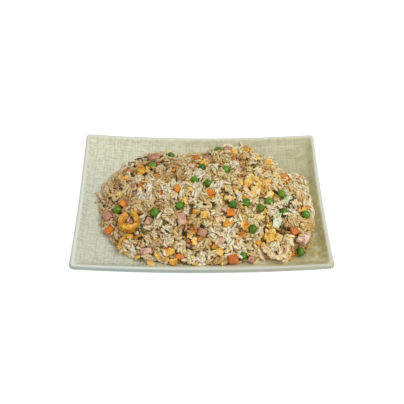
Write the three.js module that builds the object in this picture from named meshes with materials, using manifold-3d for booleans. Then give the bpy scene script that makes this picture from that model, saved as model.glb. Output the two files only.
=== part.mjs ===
// Fried rice on a rectangular stoneware platter, with the peas, ham, carrot, egg and greens that show.
// Millimetres, +Z up, +X along the platter's length. The origin is under the middle of the whole,
// at the level of the foot ring that the platter stands on.
import * as THREE from "three";
import { mergeVertices } from "three/addons/utils/BufferGeometryUtils.js";
import Module from "manifold-3d";

const wasm = await Module();
wasm.setup();

// ---------------------------------------------------------------- driving dimensions

const PLATTER = {
  length: 255,
  depth: 166,
  cornerRadius: 4.8,
  edgeBulge: 0.7, // how far the middle of a long side stands out past its ends
  rimHeight: 17, // top of the rim at the middle of a long side
  endRise: 2.2, // how much higher the rim is at the middle of a short side
  cornerRise: 5.5, // how much higher again it is at the corners
  rimWidth: 3,
  wallRun: 8.5, // how far the steep part of the inner wall slopes in
  wallDrop: 5.5,
  dishRun: 30, // and how far in the floor goes on falling gently
  dishDrop: 2.5,
  cornerEase: 3, // lower is rounder: how the walls run together in the inner corners
  thickness: 5.5,
  footLength: 165,
  footDepth: 90,
  footRadius: 8,
  footWidth: 5,
  footEdge: 0.5, // how far the ring's sides lean in
};

// The rolled rim from its inner edge round to its underside: inset from the outer edge, and depth.
const RIM_PROFILE = [
  [2.2, 0],
  [1.2, 0.3],
  [0.35, 1.1],
  [0, 2.4],
  [0.2, 4],
  [1.2, 5.2],
  [3, PLATTER.thickness],
];

const HEAP = {
  edgeHeight: 6.5, // it stands this high just inside its edge
  edgeRun: 3.5,
  domeHeight: 17, // what the middle rises above that
  domeRun: 62, // the distance in from the edge at which it is level
  footSlope: 1.8, // how steeply it would go on down outside its edge
  footFade: 14, // the distance in from the edge over which it leaves the wall's slope
  lump: 0.65,
  lumpFade: 12,
  grain: 1, // a grain lies this much above or below its neighbours
  cell: 4.7, // spacing of the bumps
  blockLength: 248, // the uncut block that the heap is shaped from
  blockDepth: 172,
  blockSkirt: -12,
  blockApex: -60,
  lift: 0.5, // clearance to the platter
};

// Slow waves that make the heap uneven: radians for each mm along X and along Y, and the phase.
const LUMP_WAVES = [
  [0.11, 0.06, 0.4],
  [-0.05, 0.13, 1.9],
  [0.19, -0.14, 4.1],
  [0.16, 0.23, 2.7],
];

const GAP = 0.35; // clearance between a topping and the rice

// The heap's foot, from the left end round by the back, as points that it passes through.
const HEAP_OUTLINE = [
  [-106.5, -10],
  [-105, 20],
  [-88, 43],
  [-63, 61],
  [-31, 64],
  [-6, 63],
  [28, 71],
  [52, 71],
  [64, 61],
  [80, 51],
  [93, 37],
  [109, 34],
  [117, 2],
  [116, -28],
  [107, -58],
  [88, -69],
  [57, -70],
  [32, -76],
  [-14, -76],
  [-50, -73],
  [-70, -68],
  [-92, -47],
  [-103, -24],
];

// ---------------------------------------------------------------- helpers

// A seeded generator: the same numbers in each run.
function randomFrom(seed) {
  let state = seed;
  return () => {
    state = (state + 0x6d2b79f5) | 0;
    let t = Math.imul(state ^ (state >>> 15), 1 | state);
    t = (t + Math.imul(t ^ (t >>> 7), 61 | t)) ^ t;
    return ((t ^ (t >>> 14)) >>> 0) / 4294967296;
  };
}

// A closed mesh with its shared vertices merged, as a manifold-3d solid.
function solidOf(geometry, matrix = new THREE.Matrix4()) {
  const bare = new THREE.BufferGeometry();
  const source = geometry.index ? geometry.toNonIndexed() : geometry.clone();
  bare.setAttribute("position", source.getAttribute("position"));
  bare.applyMatrix4(matrix);
  const merged = mergeVertices(bare, 1e-4);
  return new wasm.Manifold(
    new wasm.Mesh({
      numProp: 3,
      vertProperties: merged.attributes.position.array,
      triVerts: new Uint32Array(merged.index.array),
    }),
  );
}

function geometryOf(solid) {
  const { vertProperties, triVerts, numProp, numVert } = solid.getMesh();
  const positions = new Float32Array(numVert * 3);
  for (let i = 0; i < numVert; i++) {
    positions.set(vertProperties.subarray(i * numProp, i * numProp + 3), i * 3);
  }
  const geometry = new THREE.BufferGeometry();
  geometry.setAttribute("position", new THREE.BufferAttribute(positions, 3));
  geometry.setIndex(new THREE.BufferAttribute(triVerts, 1));
  geometry.computeVertexNormals();
  return geometry;
}

function geometryFrom(points, triangles) {
  const geometry = new THREE.BufferGeometry();
  geometry.setAttribute("position", new THREE.Float32BufferAttribute(points.flat(), 3));
  geometry.setIndex(triangles.flat());
  geometry.computeVertexNormals();
  return geometry;
}

// ---------------------------------------------------------------- platter

// How much higher the platter is at a place than at the middle of its long sides.
function rise(x, y) {
  const alongLength = Math.min(1, Math.abs(x) / (PLATTER.length / 2));
  const alongDepth = Math.min(1, Math.abs(y) / (PLATTER.depth / 2));
  return (PLATTER.endRise + PLATTER.cornerRise * alongDepth ** 2) * alongLength ** 2;
}

// How far in from the outer edge a place lies, eased round the corners.
function insetAt(x, y) {
  const sides = [PLATTER.length / 2 - Math.abs(x), PLATTER.depth / 2 - Math.abs(y)];
  const nearest = Math.min(...sides);
  if (nearest <= 0) return nearest;
  const crowding = sides.reduce((sum, side) => sum + (nearest / side) ** PLATTER.cornerEase, 0);
  return nearest / crowding ** (1 / PLATTER.cornerEase);
}

// The level of the inside at a distance in from the outer edge.
function insideLevel(inset) {
  const { rimHeight, rimWidth, wallRun, wallDrop, dishRun, dishDrop } = PLATTER;
  const wall = wallDrop * THREE.MathUtils.smoothstep(inset, rimWidth, rimWidth + wallRun);
  const dish = dishDrop * THREE.MathUtils.smoothstep(inset, rimWidth, rimWidth + dishRun);
  return rimHeight - wall - dish;
}

function insideHeight(x, y) {
  return insideLevel(insetAt(x, y)) + rise(x, y);
}

// A rounded rectangle's points, the same number on each, so that two of them can be joined.
function loopPoints(halfLength, halfDepth, radius, bulge, segments) {
  const points = [];
  const [alongX, alongY, round] = segments;
  const [cx, cy] = [halfLength - radius, halfDepth - radius];
  const corners = [[cx, cy], [-cx, cy], [-cx, -cy], [cx, -cy]];
  corners.forEach(([x, y], corner) => {
    for (let i = 0; i <= round; i++) {
      const angle = ((corner + i / round) * Math.PI) / 2;
      points.push([x + radius * Math.cos(angle), y + radius * Math.sin(angle)]);
    }
    const [nextX, nextY] = corners[(corner + 1) % 4];
    const end = ((corner + 1) * Math.PI) / 2;
    const steps = corner % 2 === 0 ? alongX : alongY;
    for (let i = 1; i < steps; i++) {
      const share = i / steps;
      const px = x + (nextX - x) * share + radius * Math.cos(end);
      const py = y + (nextY - y) * share + radius * Math.sin(end);
      points.push([px, py]);
    }
  });
  return points.map(([x, y]) => [x, y * (1 + (bulge / halfDepth) * (1 - (x / halfLength) ** 2))]);
}

// A closed solid through a row of loops that starts and ends in a point on the middle line.
function loft(startHeight, loops, endHeight) {
  const count = loops[0].length;
  const points = [[0, 0, startHeight], ...loops.flat(), [0, 0, endHeight]];
  const last = points.length - 1;
  const triangles = [];
  const at = (loop, i) => 1 + loop * count + (i % count);
  for (let i = 0; i < count; i++) {
    triangles.push([0, at(0, i), at(0, i + 1)]);
    for (let k = 0; k + 1 < loops.length; k++) {
      triangles.push([at(k, i), at(k + 1, i), at(k + 1, i + 1)]);
      triangles.push([at(k, i), at(k + 1, i + 1), at(k, i + 1)]);
    }
    triangles.push([at(loops.length - 1, i), last, at(loops.length - 1, i + 1)]);
  }
  return geometryFrom(points, triangles);
}

// A loop at a distance in from the platter's outer edge, its points at the heights that height gives.
function insetLoop(inset, height, segments, radius = Math.max(PLATTER.cornerRadius - inset, 1)) {
  const bulge = PLATTER.edgeBulge * Math.max(0, 1 - inset / 20);
  const halfLength = PLATTER.length / 2 - inset;
  const halfDepth = PLATTER.depth / 2 - inset;
  const loop = loopPoints(halfLength, halfDepth, radius, bulge, segments);
  return loop.map(([x, y]) => [x, y, height(x, y)]);
}

const FLOOR = PLATTER.rimHeight - PLATTER.wallDrop - PLATTER.dishDrop;

// The upper surface from the middle out to the top of the wall.
function insideLoops(segments, lift = 0) {
  const insets = [60, 38, 27, 19, 14, 11.5, 9.3, 7.2, 5, PLATTER.rimWidth];
  return insets.map((inset) => {
    const radius = Math.min(20, Math.max(PLATTER.cornerRadius - inset, inset / 2));
    return insetLoop(inset, (x, y) => insideHeight(x, y) + lift, segments, radius);
  });
}

function platterGeometry() {
  const segments = [10, 7, 4];
  const { rimHeight, thickness, footLength, footDepth, footRadius, footWidth, footEdge } = PLATTER;
  const under = FLOOR - thickness;
  const footLoop = (narrower, height) => {
    const [halfLength, halfDepth] = [footLength / 2 - narrower, footDepth / 2 - narrower];
    const corners = loopPoints(halfLength, halfDepth, footRadius - narrower, 0, segments);
    return corners.map(([x, y]) => [x, y, height ?? under + rise(x, y)]);
  };
  const lean = 2.2; // the underside of the wall lies this much further in than its upper side
  const below = (x, y) => insideLevel(insetAt(x, y) - lean) + rise(x, y) - thickness;
  const wallBelow = [7, 10, 13.5, 20, 32].map((inset) => insetLoop(inset, below, segments));
  const rim = RIM_PROFILE.map(([inset, down]) =>
    insetLoop(inset, (x, y) => rimHeight - down + rise(x, y), segments),
  );
  return loft(
    FLOOR,
    [
      ...insideLoops(segments),
      ...rim,
      ...wallBelow,
      footLoop(0),
      footLoop(footEdge, 0),
      footLoop(footWidth - footEdge, 0),
      footLoop(footWidth),
    ],
    under,
  );
}

// What the rice can't enter: everything below the inside of the platter.
function platterBlank() {
  const segments = [8, 6, 2];
  const beyond = -20; // this far outside the rim
  const bottom = HEAP.blockApex - 30;
  const rimLevel = (x, y) => PLATTER.rimHeight + rise(x, y) + HEAP.lift;
  const loops = [
    ...insideLoops(segments, HEAP.lift),
    insetLoop(beyond, rimLevel, segments),
    insetLoop(beyond, () => bottom, segments),
  ];
  return solidOf(loft(FLOOR + HEAP.lift, loops, bottom));
}

// ---------------------------------------------------------------- rice heap

const outlineCurve = new THREE.CatmullRomCurve3(
  HEAP_OUTLINE.map(([x, y]) => new THREE.Vector3(x, y, 0)),
  true,
  "centripetal",
);
const outline = outlineCurve.getSpacedPoints(160).slice(0, -1);

// How far a place lies inside the heap's outline, less than 0 outside it.
function distanceInside(x, y) {
  let nearest = Infinity;
  let inside = false;
  outline.forEach((a, i) => {
    const b = outline[(i + 1) % outline.length];
    const [dx, dy] = [b.x - a.x, b.y - a.y];
    const share = ((x - a.x) * dx + (y - a.y) * dy) / (dx * dx + dy * dy);
    const along = THREE.MathUtils.clamp(share, 0, 1);
    nearest = Math.min(nearest, Math.hypot(x - a.x - along * dx, y - a.y - along * dy));
    if (a.y > y !== b.y > y && x < a.x + ((y - a.y) * dx) / dy) inside = !inside;
  });
  return inside ? nearest : -nearest;
}

function lumps(x, y) {
  return LUMP_WAVES.reduce((sum, [kx, ky, phase]) => sum + HEAP.lump * Math.sin(kx * x + ky * y + phase), 0);
}

// The heap's surface without its grains.
function heapHeight(x, y) {
  const inward = distanceInside(x, y);
  const ground = insideHeight(x, y);
  if (inward <= 0) return ground + HEAP.footSlope * inward;
  const edge = HEAP.edgeHeight * (1 - Math.exp(-inward / HEAP.edgeRun));
  const dome = HEAP.domeHeight * Math.sin((Math.PI / 2) * Math.min(1, inward / HEAP.domeRun)) ** 1.2;
  const bed = FLOOR + 1;
  const flat = bed + (ground - bed) * Math.exp(-inward / HEAP.footFade);
  return flat + edge + dome + lumps(x, y) * Math.min(1, inward / HEAP.lumpFade);
}

// The uncut heap: a field of grain-sized bumps over a point far below.
function heapBlock() {
  const random = randomFrom(7);
  const { cell, grain, blockLength, blockDepth, blockSkirt, blockApex } = HEAP;
  const columns = Math.round(blockLength / cell);
  const rows = Math.round(blockDepth / cell);
  const points = [];
  for (let j = 0; j <= rows; j++) {
    for (let i = 0; i <= columns; i++) {
      const onBorder = i === 0 || j === 0 || i === columns || j === rows;
      const shift = onBorder ? 0 : cell * 0.5;
      const x = (i - columns / 2) * cell + shift * (random() - 0.5);
      const y = (j - rows / 2) * cell + shift * (random() - 0.5);
      const bump = grain * 2 * (random() - 0.5);
      points.push([x, y, onBorder ? blockSkirt : heapHeight(x, y) + bump]);
    }
  }
  const at = (i, j) => j * (columns + 1) + i;
  const apex = points.push([0, 0, blockApex]) - 1;
  const triangles = [];
  for (let j = 0; j < rows; j++) {
    for (let i = 0; i < columns; i++) {
      const [a, b, c, d] = [at(i, j), at(i + 1, j), at(i + 1, j + 1), at(i, j + 1)];
      triangles.push(...((i + j) % 2 ? [[a, b, c], [a, c, d]] : [[a, b, d], [b, c, d]]));
    }
  }
  for (let i = 0; i < columns; i++) {
    triangles.push([at(i + 1, 0), at(i, 0), apex], [at(i, rows), at(i + 1, rows), apex]);
  }
  for (let j = 0; j < rows; j++) {
    triangles.push([at(0, j), at(0, j + 1), apex], [at(columns, j + 1), at(columns, j), apex]);
  }
  return solidOf(geometryFrom(points, triangles));
}

// The one body that is left of the heap when the platter and the toppings are cut out of it.
function heapGeometry(cutters) {
  let heap = heapBlock().subtract(platterBlank());
  cutters.forEach((cutter) => {
    heap = heap.subtract(cutter);
  });
  const bodies = heap.decompose().sort((a, b) => b.volume() - a.volume());
  return geometryOf(bodies[0]);
}

// ---------------------------------------------------------------- shapes of the toppings

// Each shape gives its own geometry, the geometry that it cuts out of the rice, and its half height.

function bareGeometry(geometry) {
  geometry.deleteAttribute("normal");
  geometry.deleteAttribute("uv");
  return mergeVertices(geometry, 1e-4);
}

function mapPoints(geometry, move) {
  const positions = geometry.getAttribute("position");
  const point = new THREE.Vector3();
  for (let i = 0; i < positions.count; i++) {
    point.fromBufferAttribute(positions, i);
    move(point);
    positions.setXYZ(i, point.x, point.y, point.z);
  }
  geometry.computeVertexNormals();
  return geometry;
}

// A ball with flat faces round the outside of one of the given half sizes.
function hollowFor(halfSizes) {
  const widening = 1.26; // an icosahedron's corners over its faces
  const [a, b, c] = halfSizes.map((half) => (half + GAP) * widening);
  return bareGeometry(new THREE.IcosahedronGeometry(1, 0)).scale(a, b, c);
}

// A cooked pea: a ball, a little flattened, with a shallow dent.
function pea(radius, random) {
  const squash = 0.9 + 0.08 * random();
  const dent = new THREE.Vector3(random() - 0.5, random() - 0.5, 0.6).normalize();
  const geometry = mapPoints(bareGeometry(new THREE.IcosahedronGeometry(1, 1)), (point) => {
    const into = Math.max(0, point.dot(dent) - 0.75) * 0.5;
    point.multiplyScalar(radius * (1 - into - 0.03 * random()));
    point.z *= squash;
  });
  return {
    geometry,
    hollow: hollowFor([radius, radius, radius * squash]),
    half: radius * squash,
    reach: radius / 2,
  };
}

// A soft-edged dice or chunk with uneven sides.
function chunk(sizes, roundness, unevenness, random) {
  const [sx, sy, sz] = sizes;
  const geometry = mapPoints(bareGeometry(new THREE.BoxGeometry(1, 1, 1, 2, 2, 2)), (point) => {
    const corner = Math.abs(point.x) + Math.abs(point.y) + Math.abs(point.z) - 0.5;
    point.multiplyScalar(1 - roundness * corner * (1 - unevenness * random()));
    point.set(point.x * sx, point.y * sy, point.z * sz);
  });
  const cut = bareGeometry(new THREE.BoxGeometry(sx + 2 * GAP, sy + 2 * GAP, sz + 2 * GAP));
  return { geometry, hollow: cut, half: sz / 2, reach: Math.max(sx, sy) / 2 };
}

// A lumpy scrambled curd.
function curd(sizes, random) {
  const [a, b, c] = sizes.map((size) => size / 2);
  const geometry = mapPoints(bareGeometry(new THREE.IcosahedronGeometry(1, 1)), (point) => {
    point.multiplyScalar(0.72 + 0.28 * random());
    point.set(point.x * a, point.y * b, point.z * c);
  });
  return { geometry, hollow: hollowFor([a, b, c]), half: c, reach: Math.max(a, b) / 2 };
}

// The length of a curve that is given by a share from 0 to 1.
function lengthOf(curve) {
  const pieces = 24;
  let length = 0;
  for (let i = 0; i < pieces; i++) {
    length += curve(i / pieces).distanceTo(curve((i + 1) / pieces));
  }
  return length;
}

// A thin closed solid on a surface that is given by two shares from 0 to 1. Both faces split alike.
function sheetGeometry(surface, steps, thickness, margin = 0) {
  const [nu, nv] = steps;
  const share = (i, n, span) => (i / n) * (1 + (2 * margin) / span) - margin / span;
  const spanU = lengthOf((u) => surface(u, 0.5));
  const spanV = lengthOf((v) => surface(0.5, v));
  const points = [];
  for (const side of [1, -1]) {
    for (let i = 0; i <= nu; i++) {
      for (let j = 0; j <= nv; j++) {
        const [u, v] = [share(i, nu, spanU), share(j, nv, spanV)];
        const at = surface(u, v);
        const alongU = surface(u + 0.01, v).sub(surface(u - 0.01, v));
        const alongV = surface(u, v + 0.01).sub(surface(u, v - 0.01));
        const normal = alongU.cross(alongV).normalize();
        points.push(at.addScaledVector(normal, (side * thickness) / 2 + side * margin).toArray());
      }
    }
  }
  const index = (side, i, j) => side * (nu + 1) * (nv + 1) + i * (nv + 1) + j;
  const triangles = [];
  const quad = (a, b, c, d) => triangles.push([a, b, c], [a, c, d]);
  for (let i = 0; i < nu; i++) {
    for (let j = 0; j < nv; j++) {
      const corners = [[i, j], [i + 1, j], [i + 1, j + 1], [i, j + 1]];
      quad(...corners.map(([k, l]) => index(0, k, l)));
      const [a, b, c, d] = corners.map(([k, l]) => index(1, k, l));
      triangles.push([a, c, b], [a, d, c]);
    }
    quad(index(1, i, 0), index(1, i + 1, 0), index(0, i + 1, 0), index(0, i, 0));
    quad(index(0, i, nv), index(0, i + 1, nv), index(1, i + 1, nv), index(1, i, nv));
  }
  for (let j = 0; j < nv; j++) {
    quad(index(0, 0, j), index(0, 0, j + 1), index(1, 0, j + 1), index(1, 0, j));
    quad(index(1, nu, j), index(1, nu, j + 1), index(0, nu, j + 1), index(0, nu, j));
  }
  return geometryFrom(points, triangles);
}

// A strip of omelette that stands on its edge and curls round. Its top flares out by a share of its radius.
function curl({ radius, turn, height, thickness, flare }, random) {
  const wave = 2 * Math.PI * random();
  const surface = (u, v) => {
    const angle = THREE.MathUtils.degToRad(turn) * (u - 0.5);
    const uneven = 1 + 0.08 * Math.sin(3 * angle + wave);
    const out = radius * uneven * (1 - flare * (1 - v));
    return new THREE.Vector3(out * Math.cos(angle), out * Math.sin(angle), height * (v - 0.5));
  };
  const steps = [Math.round(turn / 26), 2];
  return {
    geometry: sheetGeometry(surface, steps, thickness),
    hollow: sheetGeometry(surface, steps, thickness, GAP),
    half: height / 2,
    reach: radius + thickness / 2,
  };
}

// A flat piece with round ends that is bent along its length and waves across it.
function flake({ length, width, thickness, bend, taper = 0 }, random) {
  const wave = 2 * Math.PI * random();
  const surface = (u, v) => {
    const across = width * (1 - taper * u) * (0.6 + 0.4 * Math.sin(Math.PI * u));
    const [x, y] = [length * (u - 0.5), across * (v - 0.5) + 0.08 * width * Math.sin(5 * u + wave)];
    const z = -bend * ((2 * u - 1) ** 2) + 0.12 * width * Math.sin(4 * v + 2 * u + wave);
    return new THREE.Vector3(x, y, z);
  };
  return {
    geometry: sheetGeometry(surface, [5, 3], thickness),
    hollow: sheetGeometry(surface, [5, 3], thickness, GAP),
    half: thickness + bend / 2,
    reach: length / 2,
  };
}

// ---------------------------------------------------------------- where the toppings lie

// Each row: place along X and Y, the piece's own measures, and the turn about its upright in degrees.

const PEAS = [
  [19, 65, 4.3], [-33, 56, 3.9], [-51.5, 33.5, 4.2], [1, 33, 4.1], [26, 28, 4.4],
  [-7.5, 13, 4.1], [7, 7.5, 4.2], [82, -3, 4.4], [68, -14, 4.3], [45, -15, 4.4],
  [31, -18, 4.3], [-22, -20, 4.3], [-47, -27, 4.5], [-86, -17.5, 4.0], [59, -22, 4.0],
  [82, -24.5, 4.3], [107, -22, 4.4], [50, -43, 4.4], [97, -63.5, 4.3], [39.5, -68.5, 4.2],
];

const HAM = [
  [-51, 51.5, [13, 9, 7], 10], [-20, -33, [9, 13, 5], 8], [-95.5, -23, [9, 10, 5], 30],
  [-71, -35.2, [5.5, 4.5, 4], 20], [-54.5, -63.5, [11, 6, 5], 5], [-53, -34, [7, 5, 4], 60],
  [0, -46.5, [8, 9, 5], 70], [17, -55, [10, 6, 5], 35], [100.5, -50, [14, 11, 7], 60],
  [48.3, -69, [7, 9, 6], -20], [29, 67, [7, 7, 5], 20], [84, -39, [7, 5, 5], 40],
];

const CARROTS = [
  [-5, 48, [6, 7, 6], 20], [89.5, 23.5, [8, 8, 7], 35], [30, -71.7, [9, 8, 8], 12],
  [-92.5, -38, [9, 7, 6], 40], [91.5, -45, [8, 7, 6], 25], [8.5, -5.5, [7, 7, 6], 40],
  [-25.5, 1, [6, 9, 6], 15], [-21.5, -69, [8, 5, 5], -25], [-80, -12, [6, 6, 6], 50],
  [28.5, -27.5, [8, 7, 4], 10],
];

const CURDS = [
  [52, 66, [11, 9, 7], 0], [73, 45, [14, 12, 9], 30], [26, -38.5, [13, 11, 6], 20],
  [57.5, -31, [11, 9, 6], 40], [-33, -65, [12, 8, 6], 10], [17.5, -64, [9, 8, 6], 80],
  [2, -29, [10, 10, 6], 60], [-12, -51, [9, 8, 8], 140],
];

const CURLS = [
  [55.6, 4, { radius: 11, turn: 235, height: 8, thickness: 4.6, flare: 0.35 }, 60],
  [-72.4, -34, { radius: 8.4, turn: 330, height: 12, thickness: 5, flare: 0.12 }, -90],
  [-73.5, -55, { radius: 8.6, turn: 190, height: 7, thickness: 3.6, flare: 0.3 }, 165],
  [73.5, -57.5, { radius: 14, turn: 220, height: 9, thickness: 5, flare: 0.35 }, -65],
];

const FLAKES = [
  [-64, 29, { length: 14, width: 9, thickness: 2.2, bend: 1.5 }, -30],
  [66, -49, { length: 12, width: 9, thickness: 2.4, bend: 3 }, 100],
];

const GREENS = [
  [88, -8, { length: 12, width: 8, thickness: 1.4, bend: 1, taper: 0.6 }, 60],
  [74.5, -34.5, { length: 16, width: 8.5, thickness: 1.4, bend: 1.5 }, 72],
];

// ---------------------------------------------------------------- assembly

const colours = {
  glaze: 0xcfd2b8,
  rice: 0xd9c9a0,
  pea: 0x5f7828,
  ham: 0xbc927c,
  carrot: 0xc77c36,
  egg: 0xe8bd55,
  green: 0xc4d09a,
};

function mesh(name, geometry, color, roughness) {
  const made = new THREE.Mesh(
    geometry,
    new THREE.MeshStandardMaterial({ color, roughness, metalness: 0 }),
  );
  made.name = name;
  return made;
}

// The direction in which a piece at a place on the heap faces. Pieces lie flatter than the heap does.
function heapNormal(x, y) {
  const step = 5;
  const flattening = 2;
  const dx = heapHeight(x + step, y) - heapHeight(x - step, y);
  const dy = heapHeight(x, y + step) - heapHeight(x, y - step);
  return new THREE.Vector3(-dx, -dy, 2 * step * flattening).normalize();
}

// Stands a piece on the heap, its middle above the rice by a share of its half height, and clear of
// the platter.
function place(piece, shape, x, y, turn, out) {
  const clearance = 0.6;
  const around = [0, 1, 2, 3, 4, 5, 6, 7].map((eighth) => {
    const angle = (eighth * Math.PI) / 4;
    return insideHeight(x + shape.reach * Math.cos(angle), y + shape.reach * Math.sin(angle));
  });
  const lowest = Math.max(insideHeight(x, y), ...around) + clearance + shape.half;
  piece.position.set(x, y, Math.max(heapHeight(x, y) + shape.half * out, lowest));
  const lean = new THREE.Quaternion().setFromUnitVectors(new THREE.Vector3(0, 0, 1), heapNormal(x, y));
  const spin = new THREE.Quaternion().setFromAxisAngle(
    new THREE.Vector3(0, 0, 1),
    THREE.MathUtils.degToRad(turn),
  );
  piece.quaternion.copy(lean.multiply(spin));
  piece.updateMatrix();
}

const group = new THREE.Group();
const hollows = [];

// One named piece for each row of a layout, with the hollow that it makes in the rice.
function addToppings(name, layout, color, roughness, out, makeShape) {
  const random = randomFrom(name.length * 101);
  layout.forEach(([x, y, measures, turn = 360 * random()], i) => {
    const shape = makeShape(measures, random);
    const number = String(i + 1).padStart(2, "0");
    const piece = mesh(`${name}_${number}`, shape.geometry, color, roughness);
    place(piece, shape, x, y, turn, out);
    hollows.push(solidOf(shape.hollow, piece.matrix));
    group.add(piece);
  });
}

const hamDice = (sizes, random) => chunk(sizes, 0.2, 0.9, random);
const carrotDice = (sizes, random) => chunk(sizes, 0.16, 0.6, random);

// How far the middle of a piece stands above the rice, as a share of its half height.
const RESTING = 0.35;
const STANDING = 0;
const LYING = 0.9;

addToppings("pea", PEAS, colours.pea, 0.35, RESTING, pea);
addToppings("ham", HAM, colours.ham, 0.5, RESTING, hamDice);
addToppings("carrot", CARROTS, colours.carrot, 0.45, RESTING, carrotDice);
addToppings("egg_curd", CURDS, colours.egg, 0.5, RESTING, curd);
addToppings("egg_curl", CURLS, colours.egg, 0.5, STANDING, curl);
addToppings("egg_flake", FLAKES, colours.egg, 0.5, LYING, flake);
addToppings("greens", GREENS, colours.green, 0.45, LYING, flake);

group.add(mesh("platter", platterGeometry(), colours.glaze, 0.3));
group.add(mesh("rice_heap", heapGeometry(hollows), colours.rice, 0.6));

export default group;
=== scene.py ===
import math

import bmesh
import bpy
import numpy as np
from mathutils import Matrix, Vector, noise
from mathutils.bvhtree import BVHTree


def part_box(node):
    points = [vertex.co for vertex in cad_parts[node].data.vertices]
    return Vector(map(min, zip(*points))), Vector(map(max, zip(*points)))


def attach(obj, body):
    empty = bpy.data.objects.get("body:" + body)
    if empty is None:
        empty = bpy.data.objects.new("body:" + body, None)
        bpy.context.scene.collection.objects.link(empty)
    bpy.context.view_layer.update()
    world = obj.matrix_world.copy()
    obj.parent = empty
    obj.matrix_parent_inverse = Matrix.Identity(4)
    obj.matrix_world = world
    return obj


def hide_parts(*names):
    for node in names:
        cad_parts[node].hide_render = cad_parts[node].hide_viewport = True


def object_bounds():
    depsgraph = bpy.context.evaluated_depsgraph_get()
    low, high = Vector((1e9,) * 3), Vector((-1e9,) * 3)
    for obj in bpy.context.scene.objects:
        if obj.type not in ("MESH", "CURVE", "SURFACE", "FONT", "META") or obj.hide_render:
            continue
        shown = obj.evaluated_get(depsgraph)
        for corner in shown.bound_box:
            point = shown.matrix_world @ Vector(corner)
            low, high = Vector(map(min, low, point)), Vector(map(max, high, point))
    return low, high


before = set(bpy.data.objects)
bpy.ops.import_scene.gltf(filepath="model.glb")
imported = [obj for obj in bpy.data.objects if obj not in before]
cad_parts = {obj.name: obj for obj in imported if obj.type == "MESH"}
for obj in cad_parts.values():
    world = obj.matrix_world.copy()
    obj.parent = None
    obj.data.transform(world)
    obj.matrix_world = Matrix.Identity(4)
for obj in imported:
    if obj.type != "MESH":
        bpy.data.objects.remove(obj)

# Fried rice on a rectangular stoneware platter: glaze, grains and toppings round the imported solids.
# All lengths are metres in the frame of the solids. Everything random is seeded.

CAD_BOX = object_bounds()
MM = 0.001
DOWN = Vector((0, 0, -1))

# ---- sizes

PLATTER_LOW, PLATTER_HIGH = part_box("platter")
EDGE_BULGE = 0.7 * MM  # how far the middle of a long side stands out past its ends
LENGTH = PLATTER_HIGH.x - PLATTER_LOW.x
DEPTH = PLATTER_HIGH.y - PLATTER_LOW.y - 2 * EDGE_BULGE
CORNER_RADIUS = 4.8 * MM
RIM_HEIGHT = 17 * MM  # top of the rim at the middle of a long side
END_RISE = 2.2 * MM
CORNER_RISE = 5.5 * MM
RIM_WIDTH = 3 * MM
RIM_ROLL = 2.4 * MM  # how far in the rolled edge reaches
WALL_RUN = 8.5 * MM
WALL_DROP = 5.5 * MM
DISH_RUN = 30 * MM
DISH_DROP = 2.5 * MM
CORNER_EASE = 3
THICKNESS = 5.5 * MM
WALL_LEAN = 2.2 * MM
FOOT_LENGTH = 165 * MM
FOOT_DEPTH = 90 * MM
FOOT_RADIUS = 8 * MM
FOOT_WIDTH = 5 * MM
FOOT_EDGE = 0.8 * MM
UNDER_HEIGHT = RIM_HEIGHT - WALL_DROP - DISH_DROP - THICKNESS
UNDER_INSETS = [inset * MM for inset in (7, 10, 13.5, 17, 20, 26, 32)]
PLATTER_CELL = 0.95 * MM
RIM_EDGE, OUTSIDE = 1, 2  # what the glaze's attribute rim says there; it is 0 inside

WEAVE_BLOCK = 9.6 * MM  # one square of the pressed basket weave
WEAVE_RIBS = 3
WEAVE_HEIGHT = 0.45 * MM

# Small pieces between the grains, which have no solid of their own: place along X and Y, and length,
# in mm. More of them lie at random.
EGG_BITS = [
    (-28, -72, 6), (-50, -73, 5), (-63, -67, 6), (-81, 18, 5), (-29, -9, 4), (-18, -12, 6), (16, -7, 5),
    (9, -13, 5), (-15, 12, 4), (-10, 1, 4), (-6, -26, 5), (20, -34, 6), (29, -10, 5), (43, -41, 6),
    (40, -48, 6), (12, -59, 5), (63, -25, 4), (51, 19, 5), (63, 1, 6), (45, 0, 5), (56, -54, 6),
    (85, -58, 5), (87, -67, 5), (36, 58, 6), (80, 28, 5), (79, 7, 5), (106, -14, 4), (-65, -49, 6),
    (99, -10, 4), (-16, -37, 5), (40, 8, 6), (35, 1, 5), (83, -68, 6), (67, -39, 6), (76, -51, 7),
    (-62, 2, 4), (-43, -10, 4), (-84, -1, 5), (59, 9, 5), (-63, 25, 6), (-56, 31, 5), (-86, 27, 4),
    (2, 42, 5), (-8, -55, 5), (-42, -67, 6), (24, -62, 5), (66, 52, 5), (61, 6, 9), (55, -1, 7),
    (49, 12, 6), (70, -4, 6), (68, 14, 6), (46, -10, 6), (-9, -45, 6), (70, -46, 8),
]
HAM_BITS = [
    (38, 25, 6), (10, 50, 6), (-71, 9, 5), (-11, 35, 6), (12, -67, 5), (23, -24, 6), (62, -65, 5),
    (-74, 31, 5), (45, 33, 5), (-20, -42, 5), (6, 53, 6), (-65, 35, 6), (-39, -48, 4), (93, -31, 5),
    (-78, -23, 5), (55, 52, 5),
]
CARROT_BITS = [
    (36, 45, 4), (43, -36, 4), (110, -12, 4), (77, 2, 4), (-43, -4, 4), (-77, 32, 4), (-81, 21, 4),
    (-47, 19, 4), (-29, 29, 4), (13, -34, 3), (87, 15, 3), (-36, -61, 3), (-56, -51, 3), (20, 11, 3),
    (65, 28, 3),
]
LEAF_BITS = [
    (95, -3, 8), (79, -41, 7), (-16, -50, 8), (-59, -69, 9), (12, -19, 6), (57, 36, 7), (-60, -43, 8),
    (-65, -59, 6), (-51, 41, 8), (33, -38, 6), (-84, 7, 5), (-75, 45, 9), (-68, 50, 10), (-61, 53, 8),
    (93, -16, 6), (-82, -32, 6), (-54, -45, 6), (2, -41, 6), (-27, -13, 5), (22, -14, 6),
]
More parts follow.
